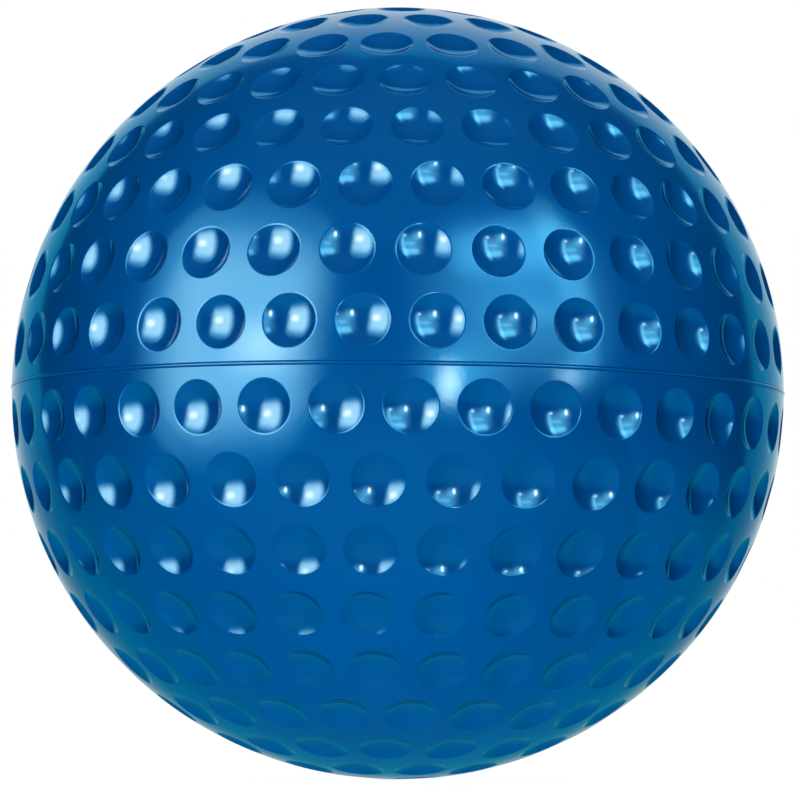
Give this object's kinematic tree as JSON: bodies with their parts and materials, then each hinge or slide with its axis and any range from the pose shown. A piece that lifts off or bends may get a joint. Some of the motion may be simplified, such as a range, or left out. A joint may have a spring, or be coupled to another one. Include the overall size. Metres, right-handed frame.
{
  "type": "playground ball",
  "caption": "Round inflatable rubber ball with rows of shallow dimples, a raised bead round its equator and a flush needle valve at one pole.",
  "frame": {"origin": "centre of the ball", "axes": "+Z through the needle valve, with the seam in the plane Z = 0; -Y is the front, where a stretch of seam and dimples faces the viewer"},
  "size_m": [0.2164, 0.2164, 0.2159],
  "materials": {
    "cover_rubber": "glossy moulded blue rubber",
    "bead_rubber": "glossy moulded blue rubber",
    "tape_rubber": "matt rubberised tape",
    "ply_rubber": "matt natural rubber sheet",
    "nylon_thread": "wound thread bonded with latex",
    "butyl": "satin black butyl",
    "patch_rubber": "matt rubber patch",
    "valve_rubber": "satin black rubber",
    "core_rubber": "lubricated soft rubber"
  },
  "bodies": {
    "root": {"upper_cover": "cover_rubber", "lower_cover": "cover_rubber", "seam_bead": "bead_rubber", "seam_tape": "tape_rubber", "upper_ply": "ply_rubber", "lower_ply": "ply_rubber", "nylon_winding": "nylon_thread", "upper_bladder": "butyl", "lower_bladder": "butyl", "bladder_splice": "butyl", "valve_patch": "patch_rubber", "valve_boot": "valve_rubber", "valve_core": "core_rubber"}
  },
  "joints": []
}
